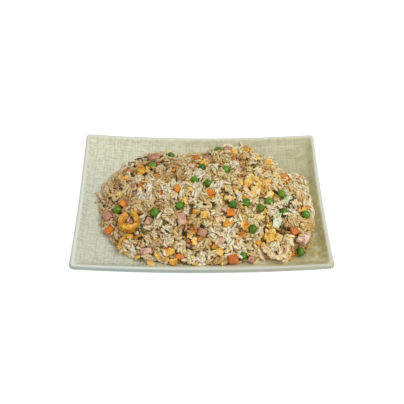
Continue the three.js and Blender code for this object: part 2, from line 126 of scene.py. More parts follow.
# Dark bits: some are dark leaf, and some are dark pieces put in deep gaps as painted shade.
DARK_BITS = [
    (-14, -40, 5), (-18, -46, 5), (-37, -37, 4), (-34, -44, 4), (94, -15, 4), (-59, -50, 4), (-56, -55, 4),
    (-53, -60, 3), (-60, -38, 5), (-102, -4, 3), (-101, -8, 4), (-12, -23, 3), (1, -40, 4), (82, -18, 4),
    (40, -36, 3), (7, -19, 3), (-5, -15, 4), (-64, -61, 3), (57, -20, 3), (66, -37, 3), (90, -47, 4),
    (28, -52, 3), (-47, 38, 6), (-43, 42, 5), (-52, 35, 4), (14, -64, 4), (19, -67, 4),
]

# Where the rice is whiter (above 0) or darker (below 0): place along X and Y in mm, and how much.
# Some of the darker spots are fried rice, and some are painted shade beside and between the pieces.
SHADES = [
    (15, -48, 1.1), (102, 19, 1.8), (0, -66, 1.0), (24, -57, 0.8), (-31, 0, 0.9), (-57, 7, 0.8),
    (16, 4, 0.9), (32, 25, 0.5), (-62, -62, 0.1), (73, -56, 1.1), (72, -31, 0.8), (-36, -37, 0.8),
    (51, -1, 0.7), (-12, -16, 1.1), (-6, 16, 0.7), (62, -18, 0.8), (77, -58, 0.8), (25, -34, 1.5),
    (26, -7, 0.9), (-10, 39, 1.0), (96, -10, 0.8), (52, 32, 0.7), (-87, -46, 0.7), (15, 21, 0.7),
    (18, 41, 0.7), (70, 22, 0.8), (62, 11, 0.6), (9, 50, -0.9), (42, 28, -0.7), (-86, 18, -0.5),
    (-20, -46, -0.4), (57, -65, -0.8), (-29, -70, -0.6), (87, -39, -0.8), (-78, -36, -0.5), (-34, 45, -0.5),
    (32, 47, -0.5), (61, -64, -0.5), (-73, -1, -0.3), (13, -65, -1.1), (-46, 37, -1.2), (-10, -38, -0.8),
    (95, -57, -1.1), (103, -28, -1.0), (1, -62, 0.4), (8, -56, -0.5), (-92, -28, -1.1), (72, -11, -1.0),
    (-34, -25, -0.8), (-66, 17, -0.3), (-11, -51, -0.9), (-77, -58, -0.6), (-15, -67, -0.6),
    (-49, 38, -0.9), (10, -12, -0.9), (102, 1, 0.5), (88, -51, -0.6), (88, -15, 0.5), (74, -38, -0.5),
    (74, -47, -0.6), (-32, -72, 0.6), (-48, -17, 0.6),
]
SHADE_REACH = 9 * MM

# Where the camera stands: it looks down on the platter from the front, a touch from the left.
AIM = Vector((0.6, -3.8, 17.0)) * MM
CAMERA_DISTANCE = 556 * MM
CAMERA_ELEVATION = math.radians(56.8)
CAMERA_HEADING = math.radians(2.58)
CAMERA_ROLL = math.radians(2.18)
FRAME_PIXELS = 404
FOCAL_PIXELS = 533
SENSOR = 36.0


# ---- meshes


def add_mesh(name, points, faces, **attributes):
    """A smooth mesh object, with float attributes on its points."""
    mesh = bpy.data.meshes.new(name)
    mesh.from_pydata(np.asarray(points, float).tolist(), [], faces)
    for label, values in attributes.items():
        layer = mesh.attributes.new(label, "FLOAT", "POINT")
        layer.data.foreach_set("value", np.asarray(values, np.float32))
    return add_object(name, mesh)


def link(name, data):
    made = bpy.data.objects.new(name, data)
    bpy.context.scene.collection.objects.link(made)
    return made


def add_object(name, mesh):
    mesh.polygons.foreach_set("use_smooth", [True] * len(mesh.polygons))
    mesh.update()
    return link(name, mesh)


def add_joined(name, shapes):
    """One mesh of many shapes, each given by its points, its faces and its tone."""
    points, faces, tones = [], [], []
    start = 0
    for shape, polygons, tone in shapes:
        points.append(shape)
        faces += [[start + v for v in polygon] for polygon in polygons]
        tones.append(np.full(len(shape), tone))
        start += len(shape)
    return add_mesh(name, np.concatenate(points), faces, tone=np.concatenate(tones))


def grid_faces(rows, columns):
    """The faces of a grid of points, row by row, by the points' numbers, and these numbers."""
    index = np.arange(rows * columns).reshape(rows, columns)
    return np.stack([index[:-1, :-1], index[:-1, 1:], index[1:, 1:], index[1:, :-1]], -1), index


def faces_of(mesh):
    return [tuple(p.vertices) for p in mesh.polygons]


def finish_piece(made, material, nodes=()):
    """Rides a piece on the one body and material, in place of the solids it stands for."""
    made.data.materials.clear()
    made.data.materials.append(material)
    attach(made, "root")
    if nodes:
        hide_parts(*nodes)
    return made


def tree_of(mesh):
    return BVHTree.FromPolygons([v.co.copy() for v in mesh.vertices], faces_of(mesh))


def smoothstep(value, low, high):
    share = np.clip((value - low) / (high - low), 0, 1)
    return share * share * (3 - 2 * share)


def noise_at(points, size, seed):
    """Smooth noise from about -1 to 1 at places, with features of the given size."""
    offset = Vector((seed, 2.7 * seed, -1.3 * seed))
    return np.array([noise.noise(Vector(p) / size + offset) for p in np.asarray(points).tolist()])


def closeness(x, y, spot, reach):
    """1 at a spot, and less the farther places lie from it."""
    return np.exp(-((np.hypot(x - spot[0], y - spot[1]) / reach) ** 2))


def beyond(circle, x, y):
    """Which places lie outside a circle, given by its middle and its radius."""
    return np.hypot(x - circle[0], y - circle[1]) > circle[2]


def shade_at(x, y):
    """How much whiter (above 0) or darker (below 0) the food is at places: more fried, and at some spots
    painted shade.
    """
    found = np.zeros(len(x))
    for spot_x, spot_y, change in SHADES:
        found = found + change * closeness(x, y, (spot_x * MM, spot_y * MM), SHADE_REACH)
    return found


def on_plane(x, y):
    return np.stack([x, y, np.zeros_like(x)], -1)


# ---- materials


def shade(red, green, blue):
    """A colour given as a screen shows it, from 0 to 255, as the linear colour that a shader takes."""
    return (*(((c / 255 + 0.055) / 1.055) ** 2.4 if c > 10 else c / 3295 for c in (red, green, blue)), 1.0)


class Shader:
    """A material under construction: each call adds a node, and sets or links its inputs."""

    def __init__(self, name):
        self.material = bpy.data.materials.new(name)
        self.material.use_nodes = True
        self.tree = self.material.node_tree
        self.tree.nodes.clear()
        self.place = self.add("TexCoord").outputs["Object"]

    def connect(self, socket, value):
        if isinstance(value, bpy.types.NodeSocket):
            self.tree.links.new(value, socket)
        else:
            socket.default_value = value

    def add(self, kind, inputs=(), **settings):
        node = self.tree.nodes.new("ShaderNode" + kind)
        for key, value in settings.items():
            setattr(node, key, value)
        for key, value in dict(inputs).items():
            self.connect(node.inputs[key], value)
        return node

    def attribute(self, name):
        return self.add("Attribute", attribute_name=name).outputs["Fac"]

    def coordinate(self, axis):
        return self.add("SeparateXYZ", {"Vector": self.place}).outputs[axis]

    def noise(self, size, detail=3.0):
        """Noise with features of about the given size in metres."""
        inputs = {"Vector": self.place, "Scale": 0.6 / size, "Detail": detail, "Roughness": 0.55}
        return self.add("TexNoise", inputs).outputs["Fac"]

    def total(self, a, b):
        return self.add("Math", {0: a, 1: b}, operation="ADD").outputs[0]

    def product(self, a, b):
        return self.add("Math", {0: a, 1: b}, operation="MULTIPLY").outputs[0]

    def stretch(self, share, low, high, start=0, end=1):
        """A share stretched from low..high to start..end."""
        inputs = {"Value": share, "From Min": low, "From Max": high, "To Min": start, "To Max": end}
        return self.add("MapRange", inputs).outputs["Result"]

    def patches(self, size, detail, low, high, start=0, end=1):
        """Noise stretched, so that it makes patches where it lies between low and high."""
        return self.stretch(self.noise(size, detail), low, high, start, end)

    def mix(self, share, a, b):
        node = self.add("Mix", data_type="RGBA", clamp_factor=True)
        sockets = {socket.identifier: socket for socket in node.inputs}
        for label, value in (("Factor_Float", share), ("A_Color", a), ("B_Color", b)):
            self.connect(sockets[label], value)
        return next(socket for socket in node.outputs if socket.identifier == "Result_Color")

    def ramp(self, share, *colours):
        """Colours spread evenly from 0 to 1."""
        node = self.add("ValToRGB", {"Fac": share})
        elements = node.color_ramp.elements
        elements[0].color = shade(*colours[0])
        elements[1].color = shade(*colours[-1])
        for i, colour in enumerate(colours[1:-1]):
            elements.new((i + 1) / (len(colours) - 1)).color = shade(*colour)
        return node.outputs["Color"]

    def finish(self, colour, roughness, relief=None, depth=0.0, **constants):
        inputs = {"Base Color": colour, "Roughness": roughness}
        if relief is not None:
            bump = {"Height": relief, "Strength": 1.0, "Distance": depth}
            inputs["Normal"] = self.add("Bump", bump).outputs["Normal"]
        shader = self.add("BsdfPrincipled", inputs)
        for key, value in constants.items():
            shader.inputs[key.replace("_", " ")].default_value = value
        output = self.add("OutputMaterial")
        self.tree.links.new(shader.outputs[0], output.inputs["Surface"])
        return self.material


def glaze_inside(s, olive_shade):
    """The glaze's colour inside the rim: layers of a share and a colour over a pale green."""
    x, y = s.coordinate("X"), s.coordinate("Y")
    middle = s.product(s.stretch(x, -0.06, 0), s.stretch(x, 0.02, 0.1, 1, 0.2))
    layers = [
        # painted light, paler towards the back, and painted shade, olive and darker towards the right and the
        # front
        (s.stretch(y, 0, 0.06), (236, 240, 222)),
        (olive_shade, (172, 162, 90)),
        # mottled all over, and blotched and stained where the painted olive shade lies
        (s.patches(2.6 * MM, 2, 0.42, 0.62, 0, 0.45), (190, 194, 164)),
        (s.product(s.patches(4 * MM, 3, 0.48, 0.6, 0, 0.7), olive_shade), (204, 200, 166)),
        (s.product(s.patches(5.2 * MM, 3, 0.52, 0.62, 0, 0.7), olive_shade), (170, 152, 100)),
        # painted shade darker in the weave's grooves, oily round the rice, painted light paler on the front
        # wall
        (s.stretch(s.attribute("relief"), 0, 1, 0.5, 0), (150, 158, 136)),
        (s.product(s.attribute("film"), s.patches(16 * MM, 4, 0.42, 0.62, 0.05, 0.75)), (228, 206, 150)),
        # painted light: the front wall's inside paler in the middle, where the rice and the lip shade it
        (s.product(s.stretch(y, -0.066, -0.074, 0, 0.7), middle), (252, 248, 222)),
    ]
    cloudy = s.patches(34 * MM, 4, 0.3, 0.7)
    colour = s.ramp(cloudy, (216, 223, 211), (220, 227, 217), (224, 229, 216))
    for share, tint in layers:
        colour = s.mix(share, colour, shade(*tint))
    return colour


def glaze_material():
    """Pale green glaze, greyer outside: painted highlight whiter on the rim, painted shade right and front.
    """
    s = Shader("glaze")
    x, y = s.coordinate("X"), s.coordinate("Y")
    # painted shade: olive and darker towards the right, most at the front, where the walls lie in warm shade
    olive_shade = s.product(s.stretch(x, -0.08, 0.125), s.stretch(y, -0.05, 0.08, 1.1, 0.5))
    edge = s.attribute("rim")
    # painted highlight: whiter where the rim catches the light, less so in the painted olive shade
    rim = s.mix(olive_shade, shade(228, 236, 230), shade(212, 215, 202))
    # painted shade: darker and bluer on the front outside, more olive towards the right
    front = s.mix(olive_shade, shade(156, 172, 174), shade(168, 174, 158))
    outside = s.mix(s.stretch(y, -0.066, -0.08), shade(206, 214, 206), front)
    colour = s.mix(edge, glaze_inside(s, olive_shade), rim)
    colour = s.mix(s.stretch(edge, RIM_EDGE, OUTSIDE), colour, outside)
    colour = s.mix(s.patches(1.1 * MM, 2, 0.68, 0.74, 0, 0.35), colour, shade(158, 158, 122))
    roughness = s.patches(2.2 * MM, 3, 0.3, 0.7, 0.34, 0.5)
    return s.finish(colour, roughness, s.noise(2.4 * MM, 3), 0.25 * MM, Specular_IOR_Level=0.4)


def rice_material(name, dull, middle, bright):
    """Cooked grains of one kind, each with its own tone: yolky at the right, and meaty at the left."""
    s = Shader(name)
    cloudy = s.patches(9 * MM, 2, 0.35, 0.65, -0.2, 0.2)
    fine = s.patches(1.3 * MM, 2, 0.3, 0.7, -0.12, 0.12)
    colour = s.ramp(s.total(s.total(s.attribute("tone"), cloudy), fine), dull, middle, bright)
    x = s.coordinate("X")
    yolky = s.product(s.stretch(x, -0.05, 0.09, 0, 0.34), s.patches(14 * MM, 3, 0.35, 0.6, 0.2, 1))
    meaty = s.product(s.stretch(x, -0.09, 0.01, 0.4, 0), s.patches(11 * MM, 3, 0.35, 0.6, 0.3, 1))
    colour = s.mix(meaty, s.mix(yolky, colour, shade(222, 184, 96)), shade(200, 172, 144))
    roughness = s.stretch(fine, -0.12, 0.12, 0.42, 0.58)
    soft = {"Subsurface_Weight": 0.7, "Subsurface_Radius": (1.0, 0.93, 0.75), "Subsurface_Scale": 1.8 * MM}
    return s.finish(colour, roughness, s.noise(0.9 * MM, 2), 0.08 * MM, **soft)


def core_material():
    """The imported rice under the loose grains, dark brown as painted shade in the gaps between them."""
    s = Shader("rice_core")
    grains = s.add("TexVoronoi", {"Vector": s.place, "Scale": 1 / (2.6 * MM)})
    share = s.stretch(grains.outputs["Distance"], 0, 0.7, 1, 0)
    # painted shade: dark brown where the core shows between grains, darkest in the dips between its bumps
    colour = s.ramp(share, (86, 62, 16), (144, 112, 52), (186, 152, 88))
    return s.finish(colour, s.stretch(share, 0, 1, 0.7, 0.5), share, 0.7 * MM)


FOODS = {
    # shades from dull to bright, size of the drift between them, spots, roughness, bumps in mm, translucency
    "pea": (((40, 80, 2), (80, 130, 10), (118, 162, 30)), 5 * MM, None, 0.27, 0.08, 0.15),
    "ham": (((168, 114, 88), (204, 158, 134), (231, 204, 184)), 5 * MM, (154, 98, 70)),
    "carrot": (((188, 98, 10), (224, 130, 28), (240, 168, 70)), 5 * MM, (202, 100, 18)),
    "egg": (
        ((192, 122, 28), (234, 182, 68), (250, 218, 124), (243, 222, 184)),
        5 * MM, (206, 136, 40), 0.45, 0.18,
    ),
    "greens": (((140, 168, 100), (200, 218, 166), (236, 243, 220)), 5 * MM, (104, 134, 70), 0.35),
    "leaf": (((34, 44, 12), (58, 76, 24), (96, 112, 44)), 4 * MM, None, 0.35),
}


def food_material(name, shades, size, spots, rough=0.4, bumps=0.15, translucency=0.2):
    """Soft food: shades drifting over each piece, which has its own tone, with darker spots."""
    s = Shader(name)
    drift = s.patches(size, 4, 0.28, 0.72, -0.4, 0.4)
    colour = s.ramp(s.total(s.attribute("tone"), drift), *shades)
    if spots is not None:
        colour = s.mix(s.patches(size * 0.55, 3, 0.56, 0.66, 0, 0.8), colour, shade(*spots))
    fine = s.noise(size * 0.25, 3)
    roughness = s.stretch(fine, 0.3, 0.7, rough - 0.08, rough + 0.12)
    soft = {
        "Subsurface_Weight": translucency,
        "Subsurface_Radius": (1.0, 0.6, 0.3),
        "Subsurface_Scale": 1.5 * MM,
    }
    return s.finish(colour, roughness, fine, bumps * MM, **soft)


# ---- platter


def rise(x, y):
    """How much higher the platter is at a place than at the middle of its long sides."""
    along_length = np.minimum(1, np.abs(x) / (LENGTH / 2))
    along_depth = np.minimum(1, np.abs(y) / (DEPTH / 2))
    return (END_RISE + CORNER_RISE * along_depth**2) * along_length**2


def inset_at(x, y):
    """How far in from the outer edge a place lies, eased round the corners."""
    a = np.maximum(LENGTH / 2 - np.abs(x), 0.01 * MM)
    b = np.maximum(DEPTH / 2 - np.abs(y), 0.01 * MM)
    nearest = np.minimum(a, b)
    return nearest / ((nearest / a) ** CORNER_EASE + (nearest / b) ** CORNER_EASE) ** (1 / CORNER_EASE)


def inside_level(inset):
    wall = WALL_DROP * smoothstep(inset, RIM_WIDTH, RIM_WIDTH + WALL_RUN)
    return RIM_HEIGHT - wall - DISH_DROP * smoothstep(inset, RIM_WIDTH, RIM_WIDTH + DISH_RUN)


def inside_height(x, y):
    """The platter's inside, without its weave."""
    return inside_level(inset_at(x, y)) + rise(x, y)


def weave(x, y):
    """The basket weave pressed into the inside, from 0 in a groove to 1 on a rib."""
    across, along = x / WEAVE_BLOCK, y / WEAVE_BLOCK
    turned = (np.floor(across) + np.floor(along)) % 2 > 0.5
    u, v = across - np.floor(across), along - np.floor(along)
    u, v = np.where(turned, v, u), np.where(turned, u, v)
    rib = np.sin(np.pi * ((v * WEAVE_RIBS) % 1)) ** 0.7
    return rib * (1 - (2 * u - 1) ** 8)


def pressed_weave(x, y):
    """The weave as it came out of the press: wandering a little, and faint in places."""
    places = on_plane(x.ravel(), y.ravel())
    drift = [0.5 * MM * noise_at(places, 9 * MM, seed).reshape(x.shape) for seed in (1.5, 6.1)]
    faint = np.clip(0.75 + 0.6 * noise_at(places, 12 * MM, 3.7).reshape(x.shape), 0.25, 1)
    pits = 0.25 * noise_at(places, 2.2 * MM, 9.4).reshape(x.shape)
    return np.clip(1 - faint * (1 - weave(x + drift[0], y + drift[1])) - np.abs(pits), 0, 1)


def rounded(x, y, half_length, half_depth, radius):
    """Points of a rectangle moved so that its corners are round."""
    px = np.abs(x) - (half_length - radius)
    py = np.abs(y) - (half_depth - radius)
    corner = (px > 0) & (py > 0)
    factor = np.where(corner, np.maximum(px, py) / np.maximum(np.hypot(px, py), 1e-12), 1)
    x = np.where(corner, np.sign(x) * (half_length - radius + px * factor), x)
    y = np.where(corner, np.sign(y) * (half_depth - radius + py * factor), y)
    return x, y


def bulged(x, y, inset):
    bulge = EDGE_BULGE * np.clip(1 - inset / (20 * MM), 0, 1)
    return y + np.sign(y) * bulge * (1 - (2 * x / LENGTH) ** 2) * np.minimum(1, np.abs(y) / (DEPTH / 2))


class Skin:
    """A closed skin that grows by loops, each joined to the loop before it.

    It is kept as one row for each point: x, y, z, relief and rim.
    """

    def __init__(self, rows, faces, border):
        self.rows, self.faces, self.previous, self.count = [rows], [faces], border, len(rows)

    def add_loop(self, x, y, z, rim):
        ring = np.arange(self.count, self.count + len(x))
        self.faces.append(np.stack([np.roll(self.previous, -1), self.previous, ring, np.roll(ring, -1)], -1))
        self.rows.append(np.stack([x, y, z, np.ones(len(x)), np.full(len(x), rim)], -1))
        self.previous, self.count = ring, self.count + len(x)

    def close(self, height):
        """Its points, faces, relief and rim, with a last point in the middle of the last loop."""
        inner = np.roll(self.previous, -1).tolist()
        faces = np.concatenate(self.faces).tolist()
        faces += [[a, b, self.count] for a, b in zip(inner, self.previous.tolist())]
        rows = np.concatenate([*self.rows, [[0, 0, height, 1, OUTSIDE]]])
        return rows[:, :3], faces, rows[:, 3], rows[:, 4]


def woven_inside():
    """A skin that so far has the inside as a grid, and the places of its border from -1 to 1 both ways."""
    half_length, half_depth = LENGTH / 2 - RIM_WIDTH, DEPTH / 2 - RIM_WIDTH
    columns, rows = round(2 * half_length / PLATTER_CELL), round(2 * half_depth / PLATTER_CELL)
    grid_x, grid_y = np.meshgrid(
        np.linspace(-half_length, half_length, columns + 1),
        np.linspace(-half_depth, half_depth, rows + 1),
    )
    x, y = rounded(grid_x, grid_y, half_length, half_depth, CORNER_RADIUS - RIM_WIDTH)
    inset = inset_at(x, y)
    pressed = smoothstep(inset, RIM_WIDTH, RIM_WIDTH + 2 * MM)
    relief = pressed_weave(x, y)
    z = inside_height(x, y) + WEAVE_HEIGHT * (relief - 1) * pressed
    quads, index = grid_faces(*grid_x.shape)
    border = np.concatenate([index[0, :-1], index[:-1, -1], index[-1, :0:-1], index[:0:-1, 0]])
    narrower = 1.2 * MM * smoothstep(y, 0.02, 0.07)
    rim = RIM_EDGE - smoothstep(inset + narrower, RIM_WIDTH + 0.9 * MM, RIM_WIDTH + 2.1 * MM)
    rows = np.stack([x, bulged(x, y, inset), z, 1 - pressed * (1 - relief), rim], -1).reshape(-1, 5)
    shares = grid_x.ravel()[border] / half_length, grid_y.ravel()[border] / half_depth
    return Skin(rows, quads.reshape(-1, 4), border), shares


def loop_at(shares, inset, radius):
    half_length, half_depth = LENGTH / 2 - inset, DEPTH / 2 - inset
    x, y = rounded(shares[0] * half_length, shares[1] * half_depth, half_length, half_depth, radius)
    return x, bulged(x, y, inset)


def add_rim(skin, shares):
    for turn in np.linspace(0, math.pi, 13):
        inset = (1 - math.sin(turn)) * RIM_ROLL
        x, y = loop_at(shares, inset, CORNER_RADIUS - inset)
        level = RIM_HEIGHT - THICKNESS / 2 * (1 - math.cos(turn)) + rise(x, y)
        skin.add_loop(x, y, level, RIM_EDGE + float(smoothstep(turn, -0.3, 0.7)))


def add_underside(skin, shares):
    """The underside of the wall and the dish, the foot ring, and the floor inside it."""
    for inset in UNDER_INSETS:
        x, y = loop_at(shares, inset, 1 * MM)
        level = inside_level(inset_at(x, y) - WALL_LEAN) + rise(x, y) - THICKNESS
        skin.add_loop(x, y, level, OUTSIDE)
    edge = FOOT_EDGE
    feet = [(0, None), (0.2 * edge, edge), (edge, 0)]
    feet += [(FOOT_WIDTH - edge, 0), (FOOT_WIDTH - 0.2 * edge, edge), (FOOT_WIDTH, None)]
    for inset, height in feet:
        hx, hy = FOOT_LENGTH / 2 - inset, FOOT_DEPTH / 2 - inset
        x, y = rounded(shares[0] * hx, shares[1] * hy, hx, hy, FOOT_RADIUS - inset)
        level = UNDER_HEIGHT + rise(x, y) if height is None else np.full_like(x, height)
        skin.add_loop(x, y, level, OUTSIDE)
    for scale in (0.7, 0.35, 0.05):
        x, y = shares[0] * scale * FOOT_LENGTH / 2, shares[1] * scale * FOOT_DEPTH / 2
        skin.add_loop(x, y, UNDER_HEIGHT + rise(x, y), OUTSIDE)


def build_platter(heap):
    """The woven inside as a grid, then loops over the rim, down the wall's underside and round the foot."""
    skin, shares = woven_inside()
    add_rim(skin, shares)
    add_underside(skin, shares)
    points, faces, relief, rim = skin.close(UNDER_HEIGHT)
    above = points[:, 2] > inside_height(points[:, 0], points[:, 1]) - 1 * MM
    film = np.where(above, heap.read(heap.nearness, points[:, 0], points[:, 1]), 0)
    made = add_mesh("platter_glazed", points, faces, relief=relief, rim=rim, film=film)
    return finish_piece(made, glaze_material(), ["platter"])


# ---- the heap's surface


def square(reach):
    """The shifts of a padded field that bring its cells up to a reach away from each cell onto it."""
    span = range(2 * reach + 1)
    return [(dx, dy) for dx in span for dy in span]


def shifted(padded, shape, shifts):
    return [padded[dy:, dx:][: shape[0], : shape[1]] for dx, dy in shifts]


class Heap:
    """The heap's top as a height field read from its solid, with the toppings' hollows filled in."""

    STEP = 1.5 * MM
    REACH = 4  # in steps: hollows up to twice this wide are filled
    CORE_DEPTH = 2.2 * MM

    def __init__(self):
        low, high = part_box("rice_heap")
        margin = 12 * MM
        x = np.arange(low.x - margin, high.x + margin, self.STEP)
        y = np.arange(low.y - margin, high.y + margin, self.STEP)
        self.x0, self.y0 = x[0], y[0]
        self.x, self.y = np.meshgrid(x, y)
        found = self.cast_down(tree_of(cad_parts["rice_heap"].data))
        closed = self.spread(self.spread(found, np.max, -1.0), np.min, 1.0)
        self.inside = closed > 0
        self.ground = inside_height(self.x, self.y)
        height = np.where(self.inside, closed, self.ground)
        self.height = self.blurred(self.blurred(height, 1), 1)
        self.slope_y, self.slope_x = np.gradient(self.height, self.STEP)
        self.nearness = self.blurred(self.inside.astype(float), 3)

    def cast_down(self, tree):
        """The solid's top at each cell, and -1 where there is none."""
        found = np.full(self.x.shape, -1.0)
        for place, x, y in zip(np.ndindex(self.x.shape), self.x.ravel(), self.y.ravel()):
            hit = tree.ray_cast(Vector((x, y, 1)), DOWN)[0]
            if hit is not None:
                found[place] = hit.z
        return found

    def spread(self, field, choose, empty):
        """At each cell the highest or lowest value in a disc round it."""
        reach = self.REACH
        padded = np.pad(field, reach, constant_values=empty)
        near = [(dx, dy) for dx, dy in square(reach) if math.hypot(dx - reach, dy - reach) <= reach + 0.1]
        return choose(shifted(padded, field.shape, near), axis=0)

    def blurred(self, field, reach):
        return np.mean(shifted(np.pad(field, reach, mode="edge"), field.shape, square(reach)), axis=0)

    def read(self, field, x, y):
        """A field's value at places, between its cells."""
        u = np.clip((np.asarray(x) - self.x0) / self.STEP, 0, field.shape[1] - 1.001)
        v = np.clip((np.asarray(y) - self.y0) / self.STEP, 0, field.shape[0] - 1.001)
        i, j = u.astype(int), v.astype(int)
        u, v = u - i, v - j
        top = field[j, i] * (1 - u) + field[j, i + 1] * u
        bottom = field[j + 1, i] * (1 - u) + field[j + 1, i + 1] * u
        return top * (1 - v) + bottom * v

    def at(self, x, y):
        """Heights, and unit normals, at places."""
        slopes = self.read(self.slope_x, x, y), self.read(self.slope_y, x, y)
        normal = np.stack([-slopes[0], -slopes[1], np.ones(len(x))], -1)
        return self.read(self.height, x, y), normal / np.linalg.norm(normal, axis=1, keepdims=True)

    def holds(self, x, y):
        return self.read(self.inside.astype(float), x, y) > 0.6

    def core(self):
        """A closed solid just under the surface: a top, the same faces on the platter, and walls."""
        bumps = noise_at(on_plane(self.x.ravel(), self.y.ravel()), 4 * MM, 0).reshape(self.x.shape)
        top = self.height - self.CORE_DEPTH + 0.5 * MM * bumps
        deep = self.inside & (top > self.ground + 0.8 * MM)
        cells = deep[:-1, :-1] & deep[1:, :-1] & deep[:-1, 1:] & deep[1:, 1:]
        used, quads = np.unique(grid_faces(*top.shape)[0][cells], return_inverse=True)
        quads, count = quads.reshape(-1, 4), len(used)
        x, y = self.x.flat[used], self.y.flat[used]
        upper = np.stack([x, y, top.flat[used]], -1)
        lower = np.stack([x, y, inside_height(x, y) + 0.15 * MM], -1)
        sides = [tuple(side) for i in range(4) for side in quads[:, [i, (i + 1) % 4]].tolist()]
        known = set(sides)  # a side that two faces share is in it both ways round
        walls = [[b, a, a + count, b + count] for a, b in sides if (b, a) not in known]
        faces = [*quads.tolist(), *(quads[:, ::-1] + count).tolist(), *walls]
        return add_mesh("rice_core", np.concatenate([upper, lower]), faces)


# ---- toppings made from their solids


def numbered(prefix):
    """The names of the nodes that are a prefix and a number."""
    return sorted(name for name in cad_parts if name.rpartition("_")[0] == prefix)


# The unevenness of each kind of topping: the size and the height of its bumps, or depth of its creases.
PEA_BUMPS = [(3 * MM, 0.2 * MM), (1.1 * MM, 0.06 * MM)]
HAM_BUMPS = [(4 * MM, 0.9 * MM), (1.5 * MM, 0.25 * MM)]
CARROT_BUMPS = [(4 * MM, 0.7 * MM), (1.3 * MM, 0.15 * MM)]
EGG_BUMPS = [(6 * MM, 1.8 * MM), (2.2 * MM, 0.9 * MM), (1 * MM, 0.15 * MM)]
LEAF_BUMPS = [(4 * MM, 1.8 * MM), (1.6 * MM, 0.4 * MM)]
CREASES = [(5 * MM, 1.0 * MM), (2.4 * MM, 0.7 * MM)]

TOPPING_KINDS = [
    # name, prefixes of the nodes, slot, plain and smoothing subdivisions, swell that makes up for what the
    # smoothing shrinks, bumps, creases, grains on them, and how far up (at most 1) the faces under these look
    ("peas", ["pea"], "pea", (0, 2), 1.08, PEA_BUMPS, [], 30, 0.75),
    ("ham", ["ham"], "ham", (1, 1), 1.02, HAM_BUMPS, [], 30, 1),
    ("carrots", ["carrot"], "carrot", (1, 1), 1.02, CARROT_BUMPS, [], 34, 0.9),
    ("egg_curds", ["egg_curd"], "egg", (1, 2), 1.12, EGG_BUMPS, CREASES, 34, 1),
    ("egg_folds", ["egg_curl", "egg_flake"], "egg", (1, 2), 1.02, EGG_BUMPS, CREASES, 80, 0.95),
    ("greens", ["greens"], "greens", (2, 1), 1.02, LEAF_BUMPS, CREASES, 6, 1),
]

# How pale the pieces are, from 0 to 1, that stand out from the others of their kind.
PALENESS = {
    "egg_curl_01": 0.5,
    "egg_curl_02": 0.3,
    "egg_curl_03": 0.35,
    "egg_curl_04": 1.1,
    "egg_flake_02": 0.6,
    "egg_curd_02": 0.6,
    "greens_02": 0.9,
    "ham_09": 0.95,
    "ham_03": 0.25,
}


def subdivided(node, levels):
    """A node's solid as a finer mesh."""
    bm = bmesh.new()
    bm.from_mesh(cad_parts[node].data)
    bmesh.ops.remove_doubles(bm, verts=bm.verts[:], dist=1e-6)
    bmesh.ops.recalc_face_normals(bm, faces=bm.faces[:])
    mesh = bpy.data.meshes.new(node)
    bm.to_mesh(mesh)
    bm.free()
    coarse = add_object(node + "_coarse", mesh)
    for kind, level in zip(("SIMPLE", "CATMULL_CLARK"), levels):
        modifier = coarse.modifiers.new(kind, "SUBSURF")
        modifier.subdivision_type, modifier.levels, modifier.render_levels = kind, level, level
    fine = bpy.data.meshes.new_from_object(coarse.evaluated_get(bpy.context.evaluated_depsgraph_get()))
    bpy.data.objects.remove(coarse)
    return fine


def roughened(mesh, swell, bumps, creases, random):
    """The points of a mesh, pushed in and out along their normals."""
    points = np.array([v.co for v in mesh.vertices])
    normals = np.array([v.vector for v in mesh.vertex_normals])
    centre = points.mean(axis=0)
    points = centre + (points - centre) * swell
    seed = random.uniform(-50, 50)
    push = sum(height * noise_at(points, size, seed) for size, height in bumps)
    for size, depth in creases:
        push = push - depth * np.clip(1 - 5 * np.abs(noise_at(points, size, seed + 31)), 0, 1)
    points = points + normals * push[:, None]
    points[:, 2] = np.minimum(points[:, 2], CAD_BOX[1][2])
    return points


def refined(name, nodes, levels, swell, bumps, creases, random):
    """The solids of some nodes as one mesh with soft, finely uneven surfaces."""
    shapes = []
    for node in nodes:
        fine = subdivided(node, levels)
        points = roughened(fine, swell, bumps, creases, random)
        shapes.append((points, faces_of(fine), PALENESS.get(node, random.uniform(0.2, 0.8))))
    return add_joined(name, shapes)


def build_toppings(materials):
    """Each kind as a piece, with how many grains lie on it and how far up these go."""
    random = np.random.default_rng(11)
    made = []
    for name, prefixes, slot, levels, swell, bumps, creases, grains, highest in TOPPING_KINDS:
        nodes = [node for prefix in prefixes for node in numbered(prefix)]
        piece = refined(name, nodes, levels, swell, bumps, creases, random)
        made.append((finish_piece(piece, materials[slot], nodes), grains, highest))
    return made


# ---- small bits between the grains

BIT_ROOM = 3.8 * MM  # between a bit and the solids' top, for its unevenness
CRUMB_FIELD = ((-110, 118), (-77, 73))  # where crumbs are tried along X and Y, in mm


def ball_template(subdivisions):
    bm = bmesh.new()
    bmesh.ops.create_icosphere(bm, subdivisions=subdivisions, radius=1)
    points = np.array([v.co for v in bm.verts])
    faces = [[v.index for v in f.verts] for f in bm.faces]
    bm.free()
    return points, faces


def dice(ball, half_sizes, random):
    """A small cube with soft edges and uneven faces."""
    points = np.sign(ball) * np.abs(ball) ** 0.6
    seed = random.uniform(-50, 50)
    return points * (1 + 0.3 * noise_at(ball, 0.8, seed))[:, None] * half_sizes


